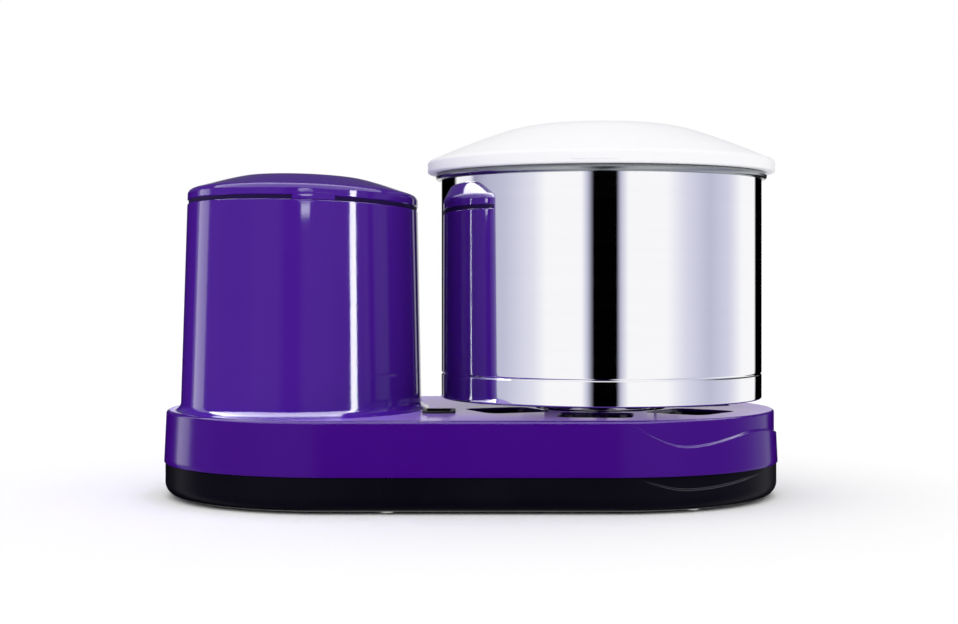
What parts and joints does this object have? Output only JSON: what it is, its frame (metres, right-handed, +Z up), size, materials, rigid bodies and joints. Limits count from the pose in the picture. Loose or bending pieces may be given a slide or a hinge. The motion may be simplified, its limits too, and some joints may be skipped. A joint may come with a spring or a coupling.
{
  "type": "table-top wet grinder",
  "caption": "Table-top wet grinder: an oval motor tower and a lidded steel drum with roller stones on a shared rounded base.",
  "frame": {"origin": "on the table, under the middle of the base", "axes": "+X runs from the motor tower to the drum, -Y is the front with the switch nearer to it, +Z is up"},
  "size_m": [0.48, 0.276, 0.29],
  "materials": {
    "purple_gloss": "gloss",
    "black_gloss": "gloss",
    "white_plastic": "satin",
    "mirror_steel": "mirror polished",
    "plain_steel": "machined",
    "zinc_steel": "zinc plated",
    "cast_aluminium": "cast",
    "granite": "ground",
    "white_nylon": "matt",
    "black_rubber": "matt",
    "laminated_iron": "laminated",
    "copper_winding": "varnished",
    "grey_plastic": "matt"
  },
  "bodies": {
    "base": {"base_pan": "black_gloss", "foot_front_left": "black_rubber", "foot_front_right": "black_rubber", "foot_back_left": "black_rubber", "foot_back_right": "black_rubber", "pan_screw_1": "zinc_steel", "pan_screw_2": "zinc_steel", "pan_screw_3": "zinc_steel", "pan_screw_4": "zinc_steel", "cord_gland": "black_rubber", "housing": "purple_gloss", "tower_cap": "purple_gloss", "switch_bezel": "black_gloss", "chassis_plate": "zinc_steel", "chassis_bolt_1": "zinc_steel", "chassis_bolt_2": "zinc_steel", "chassis_bolt_3": "zinc_steel", "chassis_bolt_4": "zinc_steel", "spindle": "plain_steel", "spindle_nut": "zinc_steel", "drive_belt": "black_rubber", "motor_bracket": "zinc_steel", "motor_shield_lower": "cast_aluminium", "motor_shield_upper": "cast_aluminium", "stator_core": "laminated_iron", "winding_lower": "copper_winding", "winding_upper": "copper_winding", "motor_bearing_lower": "plain_steel", "motor_bearing_upper": "plain_steel", "capacitor": "cast_aluminium", "capacitor_clamp": "zinc_steel", "terminal_block": "white_nylon"},
    "drive": {"drum_pulley": "cast_aluminium", "drive_plate": "plain_steel", "hub_bearing_lower": "plain_steel", "hub_bearing_upper": "plain_steel"},
    "motor": {"rotor": "laminated_iron", "motor_shaft": "plain_steel", "cooling_fan": "grey_plastic", "motor_pulley": "plain_steel"},
    "drum": {"drum": "mirror_steel", "base_stone": "granite", "drum_tube": "plain_steel", "drum_coupler": "grey_plastic", "stone_clamp_nut": "white_nylon"},
    "lid": {"lid": "white_plastic"},
    "stone_set": {"stone_holder": "cast_aluminium", "roller_axle_left": "plain_steel", "roller_axle_right": "plain_steel", "roller_nut_left": "zinc_steel", "roller_nut_right": "zinc_steel", "wiper_arm": "plain_steel", "wiper_blade": "white_nylon", "lock_spring": "plain_steel"},
    "roller_left": {"roller_stone_left": "granite", "roller_bush_left": "white_nylon"},
    "roller_right": {"roller_stone_right": "granite", "roller_bush_right": "white_nylon"},
    "knob": {"lock_knob": "black_gloss"},
    "rocker": {"switch_rocker": "black_gloss"}
  },
  "joints": [
    {"name": "drum_spin", "type": "hinge", "parent": "base", "child": "drive", "pos_m": [0.102, 0, 0.06], "axis": [0, 0, 1], "continuous": true},
    {"name": "motor_spin", "type": "hinge", "parent": "base", "child": "motor", "pos_m": [-0.133, 0, 0.1], "axis": [0, 0, 1], "continuous": true},
    {"name": "drum_lift", "type": "slide", "parent": "drive", "child": "drum", "axis": [0, 0, 1], "range_m": [0, 0.17]},
    {"name": "lid_lift", "type": "slide", "parent": "drum", "child": "lid", "axis": [0, 0, 1], "range_m": [0, 0.15]},
    {"name": "stone_lift", "type": "slide", "parent": "base", "child": "stone_set", "axis": [0, 0, 1], "range_m": [0, 0.17]},
    {"name": "roller_left_spin", "type": "hinge", "parent": "stone_set", "child": "roller_left", "pos_m": [0.102, 0, 0.1413], "axis": [1, 0, 0], "continuous": true},
    {"name": "roller_right_spin", "type": "hinge", "parent": "stone_set", "child": "roller_right", "pos_m": [0.102, 0, 0.1413], "axis": [1, 0, 0], "continuous": true},
    {"name": "knob_turn", "type": "hinge", "parent": "stone_set", "child": "knob", "pos_m": [0.102, 0, 0.225], "axis": [0, 0, 1], "range_deg": [0, 90]},
    {"name": "rocker_tilt", "type": "hinge", "parent": "base", "child": "rocker", "pos_m": [-0.024, -0.052, 0.0688], "axis": [1, 0, 0], "range_deg": [0, 12]}
  ],
  "couplings": [
    {"joint": "motor_spin", "follows": "drum_spin", "ratio": 9.5},
    {"joint": "roller_right_spin", "follows": "drum_spin", "ratio": 1.7692},
    {"joint": "roller_left_spin", "follows": "drum_spin", "ratio": -1.7692},
    {"joint": "stone_lift", "follows": "drum_lift", "ratio": 1}
  ]
}
